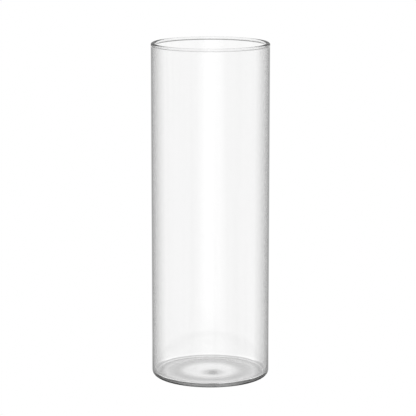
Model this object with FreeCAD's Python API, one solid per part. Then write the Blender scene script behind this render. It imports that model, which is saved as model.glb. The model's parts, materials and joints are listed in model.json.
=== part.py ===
import FreeCAD, Part
import math
import os

# A clear glass cylinder vase, in millimetres. +Z runs up its axis, and the origin is the middle of its
# foot, on the table. It is one piece of glass turned about Z, with a closing mark a little off the axis.
# Its three zones are made as three solids that meet face to face: the base with its floor and heel, the
# side wall, and the rim with its lip.

# Driving dimensions: the tube
outer_diameter = 88.9        # outside of the side wall
height = 254.0               # table to the top of the lip
wall = 3.0                   # thickness of the side wall

# Driving dimensions: the base
floor_thickness = 3.5        # glass above the foot ring
heel_radius = 4.0            # rounded outside corner between wall and foot
inner_corner_radius = 0.8    # rounded inside corner between wall and floor
foot_ring_width = 3.0        # flat ring that stands on the table
push_up_height = 0.5         # underside's middle above the table
push_up_slope = 13.0         # width of the ring in which floor and underside rise
floor_rise = 0.5             # floor's middle above its edge

# Driving dimensions: the closing mark, a thicker spot where the bottom was drawn shut
mark_diameter = 11.0         # where it meets the floor and the underside
mark_height = 0.4            # its top above the floor round it
mark_drop = 0.2              # its bottom below the underside round it
mark_side = 1.8              # its middle to the right of the axis
mark_front = 8.5             # its middle in front of the axis

# Driving dimensions: the lip
lip_swell = 0.1              # polished lip past each face of the wall
neck_radius = 5.3            # hollow curve between lip and wall

# Plain wall that a zone keeps beyond its own curves
zone_margin = 1.0

# Values worked out from the driving dimensions
outer_radius = outer_diameter / 2
inner_radius = outer_radius - wall
wall_middle = outer_radius - wall / 2
foot_outer = outer_radius - heel_radius
foot_inner = foot_outer - foot_ring_width
plateau_radius = foot_inner - push_up_slope
plateau_level = floor_thickness + floor_rise
mark_radius = mark_diameter / 2
mark_top = plateau_level + mark_height
mark_bottom = push_up_height - mark_drop
corner_top = floor_thickness + inner_corner_radius
base_top = max(heel_radius, corner_top) + zone_margin

lip_radius = wall / 2 + lip_swell
lip_level = height - lip_radius
neck_offset = wall / 2 + neck_radius
neck_reach = lip_radius + neck_radius
neck_drop = math.sqrt(neck_reach ** 2 - neck_offset ** 2)
neck_bottom = lip_level - neck_drop
rim_bottom = neck_bottom - zone_margin


def point(radius, level):
    """A point of the turned outline."""
    return FreeCAD.Vector(radius, 0, level)


def on_circle(centre, radius, degrees):
    """The point of a circle in the outline's plane, counted from the outward direction."""
    angle = math.radians(degrees)
    return centre + FreeCAD.Vector(radius * math.cos(angle), 0, radius * math.sin(angle))


def line(start, end):
    """A straight edge."""
    return Part.LineSegment(start, end).toShape()


def arc(centre, radius, first, last):
    """A round edge about a centre, from one angle to another, in degrees."""
    ends = [on_circle(centre, radius, angle) for angle in (first, (first + last) / 2, last)]
    return Part.Arc(*ends).toShape()


def ogee(start, end):
    """Two equal arcs from one level to another, lying level at both ends and in line where they meet."""
    run = end.x - start.x
    rise = end.z - start.z
    radius = (run ** 2 + rise ** 2) / (4 * abs(rise))
    half_turn = math.atan(abs(rise / run))
    side = math.copysign(radius * math.sin(half_turn), run)
    step = math.copysign(radius * (1 - math.cos(half_turn)), rise)
    middle = (start + end) * 0.5
    first = Part.Arc(start, start + FreeCAD.Vector(side, 0, step), middle).toShape()
    second = Part.Arc(middle, end - FreeCAD.Vector(side, 0, step), end).toShape()
    return [first, second]


def turned(edges):
    """A solid made by turning a closed outline once about Z."""
    face = Part.Face(Part.Wire(edges))
    return face.revolve(FreeCAD.Vector(0, 0, 0), FreeCAD.Vector(0, 0, 1), 360)


def underside_edges():
    """The underside from the axis to the foot ring's outer edge."""
    middle = point(0, push_up_height)
    plateau = point(plateau_radius, push_up_height)
    ring_inner = point(foot_inner, 0)
    ring_outer = point(foot_outer, 0)
    return [line(middle, plateau)] + ogee(plateau, ring_inner) + [line(ring_inner, ring_outer)]


def floor_edges():
    """The inside floor from the wall's inside corner to the axis."""
    edge = point(inner_radius - inner_corner_radius, floor_thickness)
    slope_foot = point(foot_inner, floor_thickness)
    plateau = point(plateau_radius, plateau_level)
    middle = point(0, plateau_level)
    return [line(edge, slope_foot)] + ogee(slope_foot, plateau) + [line(plateau, middle)]


def cap_radius(height):
    """Radius of the ball whose cap is this high and as wide as the closing mark."""
    return (mark_radius ** 2 + height ** 2) / (2 * height)


def closing_mark():
    """The closing mark: the lens between a ball that crowns the floor and one that swells the underside."""
    upper = cap_radius(mark_height)
    lower = cap_radius(mark_drop)
    crown = Part.makeSphere(upper, FreeCAD.Vector(mark_side, -mark_front, mark_top - upper))
    swelling = Part.makeSphere(lower, FreeCAD.Vector(mark_side, -mark_front, mark_bottom + lower))
    return crown.common(swelling)


def base():
    """The closed bottom: floor, pushed-up underside, foot ring, heel, closing mark and a little wall."""
    heel = arc(point(foot_outer, heel_radius), heel_radius, -90, 0)
    corner_centre = point(inner_radius - inner_corner_radius, corner_top)
    corner = arc(corner_centre, inner_corner_radius, 0, -90)
    outside = line(point(outer_radius, heel_radius), point(outer_radius, base_top))
    seat = line(point(outer_radius, base_top), point(inner_radius, base_top))
    inside = line(point(inner_radius, base_top), point(inner_radius, corner_top))
    axis = line(point(0, plateau_level), point(0, push_up_height))
    bottom = turned(underside_edges() + [heel, outside, seat, inside, corner] + floor_edges() + [axis])
    return bottom.fuse(closing_mark()).removeSplitter()


def side_wall():
    """The straight tube between the base and the rim."""
    corners = [
        point(outer_radius, base_top),
        point(outer_radius, rim_bottom),
        point(inner_radius, rim_bottom),
        point(inner_radius, base_top),
    ]
    return turned([line(a, b) for a, b in zip(corners, corners[1:] + corners[:1])])


def neck_arc(side):
    """The hollow curve from the wall to the lip, outside (side 1) or inside (side -1)."""
    centre = point(wall_middle + side * neck_offset, neck_bottom)
    lean = math.degrees(math.atan2(neck_drop, neck_offset))
    if side > 0:
        return arc(centre, neck_radius, 180, 180 - lean)
    return arc(centre, neck_radius, lean, 0)


def rim():
    """The fire-polished lip: a round bead a little thicker than the wall, its neck and a little wall."""
    lean = math.degrees(math.atan2(neck_drop, neck_offset))
    bead = arc(point(wall_middle, lip_level), lip_radius, -lean, 180 + lean)
    outside = line(point(outer_radius, rim_bottom), point(outer_radius, neck_bottom))
    inside = line(point(inner_radius, neck_bottom), point(inner_radius, rim_bottom))
    seat = line(point(inner_radius, rim_bottom), point(outer_radius, rim_bottom))
    return turned([outside, neck_arc(1), bead, neck_arc(-1), inside, seat])


def main():
    """Write one STEP file for each zone."""
    os.makedirs("parts", exist_ok=True)
    zones = {"base": base, "side_wall": side_wall, "rim": rim}
    for node, make in zones.items():
        solid = make()
        solid.exportStep(f"parts/{node}.step")
        print(f"{node}: volume {solid.Volume:.1f} mm3")


main()
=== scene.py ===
"""A clear glass cylinder vase on a plain white table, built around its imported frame.

The vase is one seamless, closed mesh of glass that stands for the frame's three zones. Everything is in
metres, in the frame's own axes: +Z up the vase's axis, the origin in the middle of its foot.
"""

import json
import logging
import math
from dataclasses import dataclass, field
from enum import Enum
from typing import Optional

import bmesh
import bpy
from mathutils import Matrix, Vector, noise


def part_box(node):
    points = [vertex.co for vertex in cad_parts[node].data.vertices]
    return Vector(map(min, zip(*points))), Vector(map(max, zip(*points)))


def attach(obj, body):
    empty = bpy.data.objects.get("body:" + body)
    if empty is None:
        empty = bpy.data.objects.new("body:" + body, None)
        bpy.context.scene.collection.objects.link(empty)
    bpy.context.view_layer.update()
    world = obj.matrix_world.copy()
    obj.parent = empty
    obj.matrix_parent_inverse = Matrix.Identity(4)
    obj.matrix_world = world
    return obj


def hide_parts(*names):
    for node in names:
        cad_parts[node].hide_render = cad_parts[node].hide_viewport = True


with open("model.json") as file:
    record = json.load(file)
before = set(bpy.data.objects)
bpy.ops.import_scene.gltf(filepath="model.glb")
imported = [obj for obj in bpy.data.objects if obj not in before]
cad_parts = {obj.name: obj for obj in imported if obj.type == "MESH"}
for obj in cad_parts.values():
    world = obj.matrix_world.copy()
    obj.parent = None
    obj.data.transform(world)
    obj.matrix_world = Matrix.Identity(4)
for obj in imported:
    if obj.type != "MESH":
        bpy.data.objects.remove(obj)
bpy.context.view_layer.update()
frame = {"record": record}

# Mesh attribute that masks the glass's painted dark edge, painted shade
PAINTED_EDGE_MASK = "outside"

# The colour sockets of a Mix node, which share their names with its other sockets
MIX_FIRST = 6
MIX_SECOND = 7
MIX_RESULT = 2

WHITE = (1.0, 1.0, 1.0, 1.0)
log = logging.getLogger("vase")


class Face(Enum):
    """The stretches of the glass's outline, told apart for their unevenness and painted dark edge."""

    UNDERSIDE = "underside"
    OUTSIDE = "outside"
    LIP = "lip"
    INSIDE = "inside"
    FLOOR = "floor"


# ---------------------------------------------------------------------------------------------
# Small helpers


def new_object(name: str, shape: bmesh.types.BMesh) -> bpy.types.Object:
    """Turn a finished bmesh into a linked object and free it.

    Args:
        name: The object's name.
        shape: The finished bmesh.

    Returns:
        The new object.
    """
    mesh = bpy.data.meshes.new(name)
    shape.to_mesh(mesh)
    shape.free()
    thing = bpy.data.objects.new(name, mesh)
    bpy.context.scene.collection.objects.link(thing)
    return thing


class Nodes:
    """A short way to lay shader nodes in a tree, in one row."""

    spacing = 180

    def __init__(self, tree: bpy.types.NodeTree) -> None:
        """Take the tree that the nodes go into."""
        self.tree = tree
        self.column = 0

    def add(self, kind: str, **settings: object) -> bpy.types.Node:
        """Add a node.

        Args:
            kind: The node's type name.
            settings: Properties to set on it.

        Returns:
            The node.
        """
        node = self.tree.nodes.new(kind)
        node.location = (self.column * self.spacing, 0)
        self.column += 1
        for name, value in settings.items():
            setattr(node, name, value)
        return node

    def join(self, source: bpy.types.NodeSocket, target: bpy.types.NodeSocket) -> None:
        """Link an output to an input."""
        self.tree.links.new(source, target)

    def feed(self, target: bpy.types.NodeSocket, value: object) -> None:
        """Link a socket to an input, or set the input to a plain value.

        Args:
            target: The input.
            value: A socket or a plain value.
        """
        if isinstance(value, bpy.types.NodeSocket):
            self.join(value, target)
        else:
            target.default_value = value

    def maths(self, operation: str, first: object, second: object = 0.0) -> bpy.types.NodeSocket:
        """Add a Math node.

        Args:
            operation: The node's operation.
            first: A socket or a number.
            second: A socket or a number.

        Returns:
            Its output.
        """
        node = self.add("ShaderNodeMath", operation=operation)
        self.feed(node.inputs[0], first)
        self.feed(node.inputs[1], second)
        return node.outputs[0]

    def span(self, value: bpy.types.NodeSocket, source: tuple[float, float],
             target: tuple[float, float]) -> bpy.types.NodeSocket:
        """Move a value from one span to another, held at its ends.

        Args:
            value: The value.
            source: First and last value in.
            target: First and last value out.

        Returns:
            The value moved.
        """
        node = self.add("ShaderNodeMapRange")
        self.join(value, node.inputs["Value"])
        for name, number in zip(("From Min", "From Max", "To Min", "To Max"), source + target):
            node.inputs[name].default_value = number
        return node.outputs[0]

    def grain(self, place: bpy.types.NodeSocket,
              size: tuple[float, float, float]) -> bpy.types.NodeSocket:
        """Lay a soft uneven pattern.

        Args:
            place: Coordinates in metres.
            size: Size of its patches along each axis.

        Returns:
            The pattern, round 0.5.
        """
        scale = self.add("ShaderNodeMapping")
        self.join(place, scale.inputs["Vector"])
        scale.inputs["Scale"].default_value = [1 / part for part in size]
        pattern = self.add("ShaderNodeTexNoise")
        self.join(scale.outputs[0], pattern.inputs["Vector"])
        pattern.inputs["Scale"].default_value = 1.0
        return pattern.outputs[0]

    def distance(self, across: bpy.types.NodeSocket,
                 along: bpy.types.NodeSocket) -> bpy.types.NodeSocket:
        """Lay the length of a flat vector.

        Args:
            across: Its first part.
            along: Its second part.

        Returns:
            The length.
        """
        squares = [self.maths("MULTIPLY", part, part) for part in (across, along)]
        return self.maths("SQRT", self.maths("ADD", *squares))


# ---------------------------------------------------------------------------------------------
# Sizes of the vase


@dataclass
class VaseSizes:
    """The vase's sizes: the first four come from the frame, and the rest are the part's own."""

    outer_radius: float
    inner_radius: float
    lip_outer_radius: float
    height: float
    floor_thickness: float = 0.0035
    heel_radius: float = 0.0040
    inner_corner_radius: float = 0.0008
    foot_ring_width: float = 0.0030
    push_up_height: float = 0.0005
    push_up_slope: float = 0.0130
    floor_rise: float = 0.0005
    mark_radius: float = 0.0055
    mark_height: float = 0.0004
    mark_drop: float = 0.0002
    mark_side: float = 0.0018
    mark_front: float = 0.0085
    neck_radius: float = 0.0053

    @classmethod
    def from_frame(cls, record: dict) -> "VaseSizes":
        """Read the sizes that the frame gives.

        Args:
            record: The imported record.

        Returns:
            The sizes.
        """
        bore = next(m for m in record["mounts"] if m["name"] == "inside")
        return cls(
            outer_radius=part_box("side_wall")[1].x,
            inner_radius=bore["dims"]["r_mm"] / 1000,
            lip_outer_radius=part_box("rim")[1].x,
            height=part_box("rim")[1].z,
        )

    @property
    def wall(self) -> float:
        """Thickness of the straight wall."""
        return self.outer_radius - self.inner_radius

    @property
    def wall_middle(self) -> float:
        """Radius of the middle of the wall."""
        return (self.outer_radius + self.inner_radius) / 2

    @property
    def lip_radius(self) -> float:
        """Radius of the round lip's section."""
        return self.lip_outer_radius - self.wall_middle

    @property
    def foot_outer(self) -> float:
        """Outer radius of the flat foot ring."""
        return self.outer_radius - self.heel_radius

    @property
    def foot_inner(self) -> float:
        """Inner radius of the flat foot ring."""
        return self.foot_outer - self.foot_ring_width

    def mark_share(self, across: float, along: float) -> float:
        """Profile of the closing mark, a smooth bump a little off the axis.

        Args:
            across: Place to the right.
            along: Place to the back.

        Returns:
            1 in its middle, falling to 0 at its edge and beyond.
        """
        away = math.hypot(across - self.mark_side, along + self.mark_front)
        if away >= self.mark_radius:
            return 0.0
        return 0.5 + 0.5 * math.cos(math.pi * away / self.mark_radius)


# ---------------------------------------------------------------------------------------------
# The outline


@dataclass
class Stop:
    """One point of the turned outline."""

    radius: float
    level: float
    face: Face


@dataclass
class Outline:
    """The outline of the glass, from the underside's middle round the heel, wall and lip to the floor's.

    The steps are the longest pieces of a straight run, and the counts are the pieces of a round one.
    """

    sizes: VaseSizes
    stops: list[Stop] = field(default_factory=list)
    flat_step: float = 0.0007
    wall_step: float = 0.0200
    ogee_count: int = 24
    heel_count: int = 18
    neck_count: int = 6
    lip_count: int = 32
    corner_count: int = 12

    def add(self, radius: float, level: float, face: Face) -> None:
        """Add one point."""
        self.stops.append(Stop(radius, level, face))

    def run_to(self, radius: float, level: float, face: Face, step: float) -> None:
        """Add a straight run from the last point.

        Args:
            radius: Where the run ends.
            level: Where the run ends.
            face: The stretch that it belongs to.
            step: The longest piece of the run.
        """
        last = self.stops[-1]
        length = math.hypot(radius - last.radius, level - last.level)
        count = max(1, math.ceil(length / step))
        for i in range(1, count + 1):
            share = i / count
            self.add(
                last.radius + (radius - last.radius) * share,
                last.level + (level - last.level) * share,
                face,
            )

    def arc(self, centre: tuple[float, float], radius: float, turn: tuple[float, float],
            face: Face, count: int) -> None:
        """Add a round stretch, leaving out its first point.

        Args:
            centre: Radius and level of its centre.
            radius: Its own radius.
            turn: First and last angle in degrees, counted from outwards.
            face: The stretch that it belongs to.
            count: How many pieces it has.
        """
        for i in range(1, count + 1):
            angle = math.radians(turn[0] + (turn[1] - turn[0]) * i / count)
            self.add(centre[0] + radius * math.cos(angle), centre[1] + radius * math.sin(angle), face)

    def ogee_to(self, radius: float, level: float, face: Face, count: int) -> None:
        """Add two equal arcs to another level, lying level at both ends.

        Args:
            radius: Where the rise ends.
            level: Where the rise ends.
            face: The stretch that it belongs to.
            count: How many pieces it has.
        """
        last = self.stops[-1]
        run, rise = radius - last.radius, level - last.level
        bend = (run ** 2 + rise ** 2) / (4 * abs(rise))
        for i in range(1, count + 1):
            share = i / count
            along = share if share <= 0.5 else 1 - share
            climb = math.copysign(bend - math.sqrt(bend ** 2 - (run * along) ** 2), rise)
            height = last.level + climb if share <= 0.5 else level - climb
            self.add(last.radius + run * share, height, face)

    def trace(self) -> list[Stop]:
        """Lay the whole outline.

        Returns:
            Its points, in order.
        """
        s = self.sizes
        plateau = s.foot_inner - s.push_up_slope
        corner = s.inner_radius - s.inner_corner_radius
        corner_top = s.floor_thickness + s.inner_corner_radius
        lip_level = s.height - s.lip_radius
        offset = s.wall / 2 + s.neck_radius
        drop = math.sqrt((s.lip_radius + s.neck_radius) ** 2 - offset ** 2)
        lean = math.degrees(math.atan2(drop, offset))
        neck = lip_level - drop
        floor_top = s.floor_thickness + s.floor_rise
        outer_neck = (s.wall_middle + offset, neck)
        inner_neck = (s.wall_middle - offset, neck)

        self.add(0, s.push_up_height, Face.UNDERSIDE)
        self.run_to(plateau, s.push_up_height, Face.UNDERSIDE, self.flat_step)
        self.ogee_to(s.foot_inner, 0, Face.UNDERSIDE, self.ogee_count)
        self.run_to(s.foot_outer, 0, Face.UNDERSIDE, self.flat_step)
        self.arc((s.foot_outer, s.heel_radius), s.heel_radius, (-90, 0), Face.OUTSIDE, self.heel_count)
        self.run_to(s.outer_radius, neck, Face.OUTSIDE, self.wall_step)
        self.arc(outer_neck, s.neck_radius, (180, 180 - lean), Face.LIP, self.neck_count)
        self.arc((s.wall_middle, lip_level), s.lip_radius, (-lean, 180 + lean), Face.LIP, self.lip_count)
        self.arc(inner_neck, s.neck_radius, (lean, 0), Face.LIP, self.neck_count)
        self.run_to(s.inner_radius, corner_top, Face.INSIDE, self.wall_step)
        self.arc((corner, corner_top), s.inner_corner_radius, (0, -90), Face.FLOOR, self.corner_count)
        self.run_to(s.foot_inner, s.floor_thickness, Face.FLOOR, self.flat_step)
        self.ogee_to(plateau, floor_top, Face.FLOOR, self.ogee_count)
        self.run_to(0, floor_top, Face.FLOOR, self.flat_step)
        return self.stops


# ---------------------------------------------------------------------------------------------
# The finish


@dataclass(frozen=True)
class ClearGlass:
    """Colourless fire-polished glass with faint draw lines, dull where its foot is scuffed.

    Its outside has a painted dark edge: its colour darkens where it turns away from the eye. This is
    painted shade in place of the dark surroundings that real glass shows at its edges.
    A span is the part of a soft pattern's range that is stretched over its whole effect.
    """

    colour: float = 0.965
    painted_edge_from: float = 0.35
    painted_edge_to: float = 0.81
    painted_edge_power: float = 1.2
    painted_edge_tone: float = 0.0
    line_width: float = 0.0090
    line_length: float = 0.6000
    line_span: tuple[float, float] = (0.3, 0.7)
    line_tint: float = 0.020
    line_depth: float = 0.000004
    scuff_level: float = 0.00015
    scuff_grain: float = 0.0006
    scuff_span: tuple[float, float] = (0.4, 0.6)
    scuff_share: tuple[float, float] = (0.2, 1.0)
    scuff_roughness: float = 0.30
    ior: float = 1.5

    def material(self) -> bpy.types.Material:
        """Make the glass.

        Returns:
            The material.
        """
        material = bpy.data.materials.new("clear_glass")
        material.use_nodes = True
        nodes = Nodes(material.node_tree)
        shader = material.node_tree.nodes["Principled BSDF"]
        shader.inputs["Transmission Weight"].default_value = 1.0
        shader.inputs["Metallic"].default_value = 0.0
        shader.inputs["IOR"].default_value = self.ior
        place = nodes.add("ShaderNodeTexCoord").outputs["Object"]
        lines = nodes.grain(place, (self.line_width, self.line_width, self.line_length))
        # Base colour: draw lines in the glass, turned towards a dark tone by the painted dark edge,
        # painted shade where the outside turns from the eye
        tint = nodes.add("ShaderNodeMix", data_type="RGBA")
        nodes.join(self.edge(nodes), tint.inputs["Factor"])
        tones = (self.colour - self.line_tint, self.colour + self.line_tint)
        nodes.join(nodes.span(lines, self.line_span, tones), tint.inputs[MIX_FIRST])
        tint.inputs[MIX_SECOND].default_value = (self.painted_edge_tone, self.painted_edge_tone, self.painted_edge_tone, 1)
        nodes.join(tint.outputs[MIX_RESULT], shader.inputs["Base Color"])
        nodes.join(self.scuffs(nodes, place), shader.inputs["Roughness"])
        bump = nodes.add("ShaderNodeBump")
        bump.inputs["Distance"].default_value = self.line_depth
        nodes.join(lines, bump.inputs["Height"])
        nodes.join(bump.outputs[0], shader.inputs["Normal"])
        return material

    def edge(self, nodes: Nodes) -> bpy.types.NodeSocket:
        """Lay the share of the painted dark edge, painted shade where the outside turns from the eye.

        Args:
            nodes: Where it goes.

        Returns:
            Its share, 0 where the glass faces the eye and on the vase's inside.
        """
        # Painted shade: Layer Weight's facing darkens the outside's colour towards its silhouette
        facing = nodes.add("ShaderNodeLayerWeight")
        facing.inputs["Blend"].default_value = 0.5
        clear = nodes.span(facing.outputs["Facing"], (self.painted_edge_from, self.painted_edge_to), (1.0, 0.0))
        turned = nodes.maths("SUBTRACT", 1.0, nodes.maths("POWER", clear, self.painted_edge_power))
        outside = nodes.add("ShaderNodeAttribute", attribute_name=PAINTED_EDGE_MASK)
        return nodes.maths("MULTIPLY", turned, outside.outputs["Fac"])

    def scuffs(self, nodes: Nodes, place: bpy.types.NodeSocket) -> bpy.types.NodeSocket:
        """Lay the roughness, which is only on the foot, in small scuffs.

        Args:
            nodes: Where it goes.
            place: The object's own coordinates.

        Returns:
            The roughness.
        """
        split = nodes.add("ShaderNodeSeparateXYZ")
        nodes.join(place, split.inputs[0])
        foot = nodes.span(split.outputs["Z"], (0.0, self.scuff_level), (self.scuff_roughness, 0.0))
        grain = nodes.grain(place, (self.scuff_grain,) * 3)
        return nodes.maths("MULTIPLY", foot, nodes.span(grain, self.scuff_span, self.scuff_share))


# ---------------------------------------------------------------------------------------------
# The vase


@dataclass
class GlassVase:
    """The one piece of glass.

    The lip has a share of the outside's painted dark edge, and the waves are the floor's own. A point of
    the outline that lies within axis_reach of the axis is a single vertex.
    """

    sizes: VaseSizes
    finish: ClearGlass = ClearGlass()
    segments: int = 384
    axis_reach: float = 1e-9
    lip_painted_edge_share: float = 0.6
    wave_length: float = 0.0140
    wave_height: float = 0.00005
    piece: Optional[bpy.types.Object] = None

    def build(self) -> bpy.types.Object:
        """Turn the outline into one closed mesh.

        Returns:
            The vase.
        """
        shape = bmesh.new()
        # Each vertex keeps its share of the painted dark edge
        mark = shape.verts.layers.float.new(PAINTED_EDGE_MASK)
        rings = []
        for stop in Outline(self.sizes).trace():
            ring = []
            for i in range(self.segments if stop.radius > self.axis_reach else 1):
                angle = 2 * math.pi * i / self.segments
                across, along = stop.radius * math.cos(angle), stop.radius * math.sin(angle)
                level = stop.level + self.unevenness(stop, across, along)
                vert = shape.verts.new((across, along, level))
                vert[mark] = self.painted_edge_share(stop)
                ring.append(vert)
            rings.append(ring)
        for first, second in zip(rings, rings[1:]):
            for i in range(self.segments):
                j = (i + 1) % self.segments
                corners = [first[i % len(first)], first[j % len(first)],
                           second[j % len(second)], second[i % len(second)]]
                shape.faces.new(list(dict.fromkeys(corners)))
        bmesh.ops.recalc_face_normals(shape, faces=shape.faces)
        for face in shape.faces:
            face.smooth = True
        self.piece = new_object("glass_vase", shape)
        return self.piece

    def unevenness(self, stop: Stop, across: float, along: float) -> float:
        """How far the closing mark and the floor's own waves move a point up.

        Args:
            stop: The outline's point.
            across: Place to the right.
            along: Place to the back.

        Returns:
            The rise.
        """
        share = self.sizes.mark_share(across, along)
        if stop.face is Face.FLOOR:
            place = Vector((across, along, 0.0)) / self.wave_length
            return self.sizes.mark_height * share + self.wave_height * noise.noise(place)
        if stop.face is Face.UNDERSIDE:
            return -self.sizes.mark_drop * share
        return 0.0

    def painted_edge_share(self, stop: Stop) -> float:
        """How much of the outside's painted dark edge, painted shade, a point of the outline has.

        Args:
            stop: The outline's point.

        Returns:
            1 on the outside, 0 on the inside, floor and underside, and between them on the lip.
        """
        if stop.face is Face.LIP:
            share = 0.5 + 0.5 * (stop.radius - self.sizes.wall_middle) / self.sizes.lip_radius
            return self.lip_painted_edge_share * min(1.0, max(0.0, share))
        return 1.0 if stop.face is Face.OUTSIDE else 0.0

    def dress(self) -> None:
        """Give the vase its glass, and tie it to the frame."""
        self.piece.data.materials.append(self.finish.material())
        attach(self.piece, "root")
        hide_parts("base", "side_wall", "rim")


# ---------------------------------------------------------------------------------------------
# The studio


@dataclass(frozen=True)
class Fade:
    """A brightness that changes smoothly with a distance or an angle, through its stops."""

    stops: tuple[tuple[float, float], ...]

    def lay(self, nodes: Nodes, value: bpy.types.NodeSocket) -> bpy.types.NodeSocket:
        """Lay the fade as a ramp.

        Args:
            nodes: Where it goes.
            value: The distance or angle.

        Returns:
            The brightness.
        """
        first, last = self.stops[0][0], self.stops[-1][0]
        peak = max(level for _, level in self.stops)
        ramp = nodes.add("ShaderNodeValToRGB")
        ramp.color_ramp.interpolation = "EASE"
        marks = ramp.color_ramp.elements
        while len(marks) < len(self.stops):
            marks.new(1.0)
        for mark, (place, level) in zip(marks, self.stops):
            mark.position = (place - first) / (last - first)
            mark.color = (level / peak, level / peak, level / peak, 1)
        nodes.join(nodes.span(value, (first, last), (0.0, 1.0)), ramp.inputs[0])
        return nodes.maths("MULTIPLY", ramp.outputs[0], peak)


@dataclass(frozen=True)
class TablePlace:
    """Where on the table a ray lands, as sockets: two parts, distance from the axis and bearing."""

    across: bpy.types.NodeSocket
    along: bpy.types.NodeSocket
    away: bpy.types.NodeSocket
    bearing: bpy.types.NodeSocket

    @classmethod
    def lay(cls, nodes: Nodes) -> "TablePlace":
        """Lay the sockets.

        Args:
            nodes: Where they go.

        Returns:
            The place, its bearing in degrees from the front, 0 to 180 to either side.
        """
        place = nodes.add("ShaderNodeTexCoord")
        split = nodes.add("ShaderNodeSeparateXYZ")
        nodes.join(place.outputs["Object"], split.inputs[0])
        across, along = split.outputs["X"], split.outputs["Y"]
        away = nodes.distance(across, along)
        toward_front = nodes.maths("MULTIPLY", along, -1)
        bearing = nodes.maths("ARCTAN2", nodes.maths("ABSOLUTE", across), toward_front)
        return cls(across, along, away, nodes.maths("DEGREES", bearing))


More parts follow.
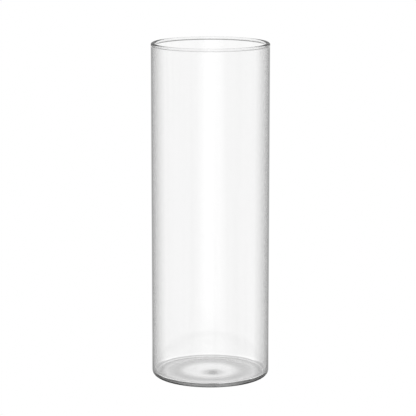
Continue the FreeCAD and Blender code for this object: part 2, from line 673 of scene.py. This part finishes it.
@dataclass
class Studio:
    """A shadowless white table and surround, as the eye and the glass see them, and the camera.

    The eye sees plain white. The table's light is painted into an emission, and through the glass it
    also shows
    painted light and shade: the rings of light and shade that the base throws on it, a painted shadow
    below the closing mark, a painted shade under the foot at its sides and back, and a painted wedge of
    light in front. In the glass's reflections the table is painted dark next to the foot, a little dim
    beyond it and lighter in front.
    The front is the side that the camera stands on, so the look is set for that view. The glass sees a
    surround that is dimmer higher up and to the sides, but plain white straight through both walls near
    the horizon.
    """

    table_half: float = 8.0
    table_gap: float = 0.00005
    # Painted light and shade in rings that the base throws on the table, seen only through the glass
    rings: Fade = Fade((
        (0.0000, 1.15), (0.0160, 1.18), (0.0260, 0.71), (0.0310, 0.80), (0.0345, 0.95), (0.0385, 0.72),
        (0.0400, 1.05), (0.0415, 1.15), (0.0435, 1.10), (0.0560, 1.15), (0.0620, 1.02), (0.0900, 0.99)))
    # Painted shade under the foot, at its sides and back
    foot_shade: Fade = Fade((
        (0.0415, 0.00), (0.0435, 0.50), (0.0462, 1.00), (0.0533, 1.00), (0.0560, 0.00)))
    foot_shade_side: Fade = Fade(((60.0, 0.0), (110.0, 1.0)))
    # The table as the glass mirrors it: painted shade, dark next to the foot and a little dim beyond it
    mirrored: Fade = Fade(((0.0430, 0.0), (0.0470, 0.75), (0.0600, 0.75), (0.1200, 0.92)))
    # Painted wedge of light on the table in front, and how far out it reaches
    front_light: Fade = Fade(((8.0, 0.60), (42.0, 0.0)))
    front_reach: Fade = Fade(((0.0500, 0.0), (0.1500, 1.0)))
    # Painted shadow of the closing mark on the table, seen only through the glass, and where it lies
    painted_mark_shadow: Fade = Fade(((0.0000, 0.62), (0.0045, 0.36), (0.0120, 0.0)))
    painted_mark_shadow_place: tuple[float, float] = (0.0018, -0.0067)
    surround: Fade = Fade((
        (-1.0, 0.25), (3.0, 0.40), (12.0, 0.48), (16.0, 0.48), (24.0, 0.32), (28.0, 0.03),
        (40.0, 0.05), (55.0, 0.28), (90.0, 0.40)))
    side_surround: float = 0.4
    wall_crossings: int = 4
    plain_below: float = 3.2
    plain_strength: float = 1.10
    camera_distance: float = 1.550
    eye_height: float = 0.4220
    lens: float = 180.85
    sensor: float = 36.0
    aim_level: float = 0.1287
    aim_side: float = -0.0018

    def lay_table(self) -> None:
        """Make the table top."""
        shape = bmesh.new()
        turns = ((-1, -1), (1, -1), (1, 1), (-1, 1))
        corners = [(x * self.table_half, y * self.table_half, 0) for x, y in turns]
        shape.faces.new([shape.verts.new(corner) for corner in corners])
        table = new_object("table_top", shape)
        table.location.z = -self.table_gap
        table.data.materials.append(self.table_material())

    def table_material(self) -> bpy.types.Material:
        """Make the table's painted light, an emission that each kind of ray sees in its own way.

        Returns:
            The material.
        """
        material = bpy.data.materials.new("white_table")
        material.use_nodes = True
        material.node_tree.nodes.clear()
        nodes = Nodes(material.node_tree)
        place = TablePlace.lay(nodes)
        path = nodes.add("ShaderNodeLightPath")
        front = self.front_light.lay(nodes, place.bearing)
        reach = nodes.maths("MULTIPLY", front, self.front_reach.lay(nodes, place.away))
        through = nodes.maths("ADD", self.base_rings(nodes, place), reach)
        through = nodes.maths("MULTIPLY", through, path.outputs["Is Transmission Ray"])
        # Painted light and shade in the glass's reflections of the table: dark next to the foot, lighter
        # in front
        lift = nodes.maths("ADD", front, 1.0)
        mirrored = nodes.maths("MULTIPLY", self.mirrored.lay(nodes, place.away), lift)
        mirrored = nodes.maths("MULTIPLY", mirrored, path.outputs["Is Glossy Ray"])
        in_glass = nodes.maths("MAXIMUM", through, mirrored)
        brightness = nodes.maths("ADD", in_glass, path.outputs["Is Camera Ray"])
        light = nodes.add("ShaderNodeEmission")
        nodes.join(brightness, light.inputs["Strength"])
        out = nodes.add("ShaderNodeOutputMaterial")
        nodes.join(light.outputs[0], out.inputs["Surface"])
        return material

    def base_rings(self, nodes: Nodes, place: TablePlace) -> bpy.types.NodeSocket:
        """Lay the painted light and shade that the base throws on the table: rings, a shadow below the
        closing mark and a shade under the foot.

        Args:
            nodes: Where it goes.
            place: The place on the table.

        Returns:
            The brightness.
        """
        # Painted shadow below the closing mark
        from_painted_mark_shadow = nodes.distance(nodes.maths("SUBTRACT", place.across, self.painted_mark_shadow_place[0]),
                                   nodes.maths("SUBTRACT", place.along, self.painted_mark_shadow_place[1]))
        painted_mark_shadow = nodes.maths("SUBTRACT", 1.0, self.painted_mark_shadow.lay(nodes, from_painted_mark_shadow))
        rings = nodes.maths("MULTIPLY", self.rings.lay(nodes, place.away), painted_mark_shadow)
        shade = self.foot_shade.lay(nodes, place.away)
        shade = nodes.maths("MULTIPLY", shade, self.foot_shade_side.lay(nodes, place.bearing))
        return nodes.maths("MULTIPLY", rings, nodes.maths("SUBTRACT", 1.0, shade))

    def light_world(self) -> None:
        """Make the surround."""
        world = bpy.data.worlds.new("white_surround")
        bpy.context.scene.world = world
        world.use_nodes = True
        world.node_tree.nodes.clear()
        nodes = Nodes(world.node_tree)
        path = nodes.add("ShaderNodeLightPath")
        place = nodes.add("ShaderNodeTexCoord")
        split = nodes.add("ShaderNodeSeparateXYZ")
        nodes.join(place.outputs["Generated"], split.inputs[0])
        climb = nodes.maths("DEGREES", nodes.maths("ARCSINE", split.outputs["Z"]))
        side = nodes.maths("MULTIPLY", split.outputs["X"], split.outputs["X"])
        share = nodes.maths("MULTIPLY", side, self.side_surround - 1.0)
        dim = nodes.maths("MULTIPLY", self.surround.lay(nodes, climb), nodes.maths("ADD", share, 1.0))
        straight = self.straight_through(nodes, path, climb)
        plain = nodes.maths("MAXIMUM", straight, path.outputs["Is Camera Ray"])
        background = nodes.add("ShaderNodeBackground")
        background.inputs["Color"].default_value = WHITE
        nodes.join(nodes.maths("MAXIMUM", dim, plain), background.inputs["Strength"])
        out = nodes.add("ShaderNodeOutputWorld")
        nodes.join(background.outputs[0], out.inputs["Surface"])

    def straight_through(self, nodes: Nodes, path: bpy.types.Node,
                         climb: bpy.types.NodeSocket) -> bpy.types.NodeSocket:
        """Lay the plain white that a ray sees straight through both walls near the horizon.

        Such a ray has crossed every face of the two walls once, and has not been mirrored. The renderer
        counts one more step for it than it crosses faces.

        Args:
            nodes: Where it goes.
            path: The ray's Light Path node.
            climb: The ray's climb in degrees.

        Returns:
            The brightness, 0 for every other ray.
        """
        steps = {"Ray Depth": self.wall_crossings + 1, "Transmission Depth": self.wall_crossings}
        missed = [nodes.maths("ABSOLUTE", nodes.maths("SUBTRACT", path.outputs[name], count))
                  for name, count in steps.items()]
        unbent = nodes.maths("LESS_THAN", nodes.maths("ADD", *missed), 0.5)
        low = nodes.maths("LESS_THAN", climb, self.plain_below)
        return nodes.maths("MULTIPLY", nodes.maths("MULTIPLY", unbent, low), self.plain_strength)

    def set_camera(self) -> None:
        """Stand the camera in front of the vase, a little above it, and aim it."""
        data = bpy.data.cameras.new("camera")
        data.lens = self.lens
        data.sensor_width = self.sensor
        camera = bpy.data.objects.new("camera", data)
        bpy.context.scene.collection.objects.link(camera)
        camera.location = (0, -self.camera_distance, self.eye_height)
        aim = Vector((self.aim_side, 0, self.aim_level))
        camera.rotation_euler = (aim - camera.location).to_track_quat("-Z", "Y").to_euler()
        bpy.context.scene.camera = camera

    def set_up(self) -> None:
        """Make the whole studio."""
        self.set_camera()
        self.lay_table()
        self.light_world()
        bpy.context.scene.view_settings.view_transform = "Standard"


def main() -> None:
    """Build the studio and the vase, and report each piece."""
    logging.basicConfig(level=logging.INFO, format="%(name)s: %(message)s")
    Studio().set_up()
    vase = GlassVase(VaseSizes.from_frame(frame["record"]))
    vase.build()
    vase.dress()
    log.info("%s: %d faces", vase.piece.name, len(vase.piece.data.polygons))


if __name__ == "__main__":
    main()
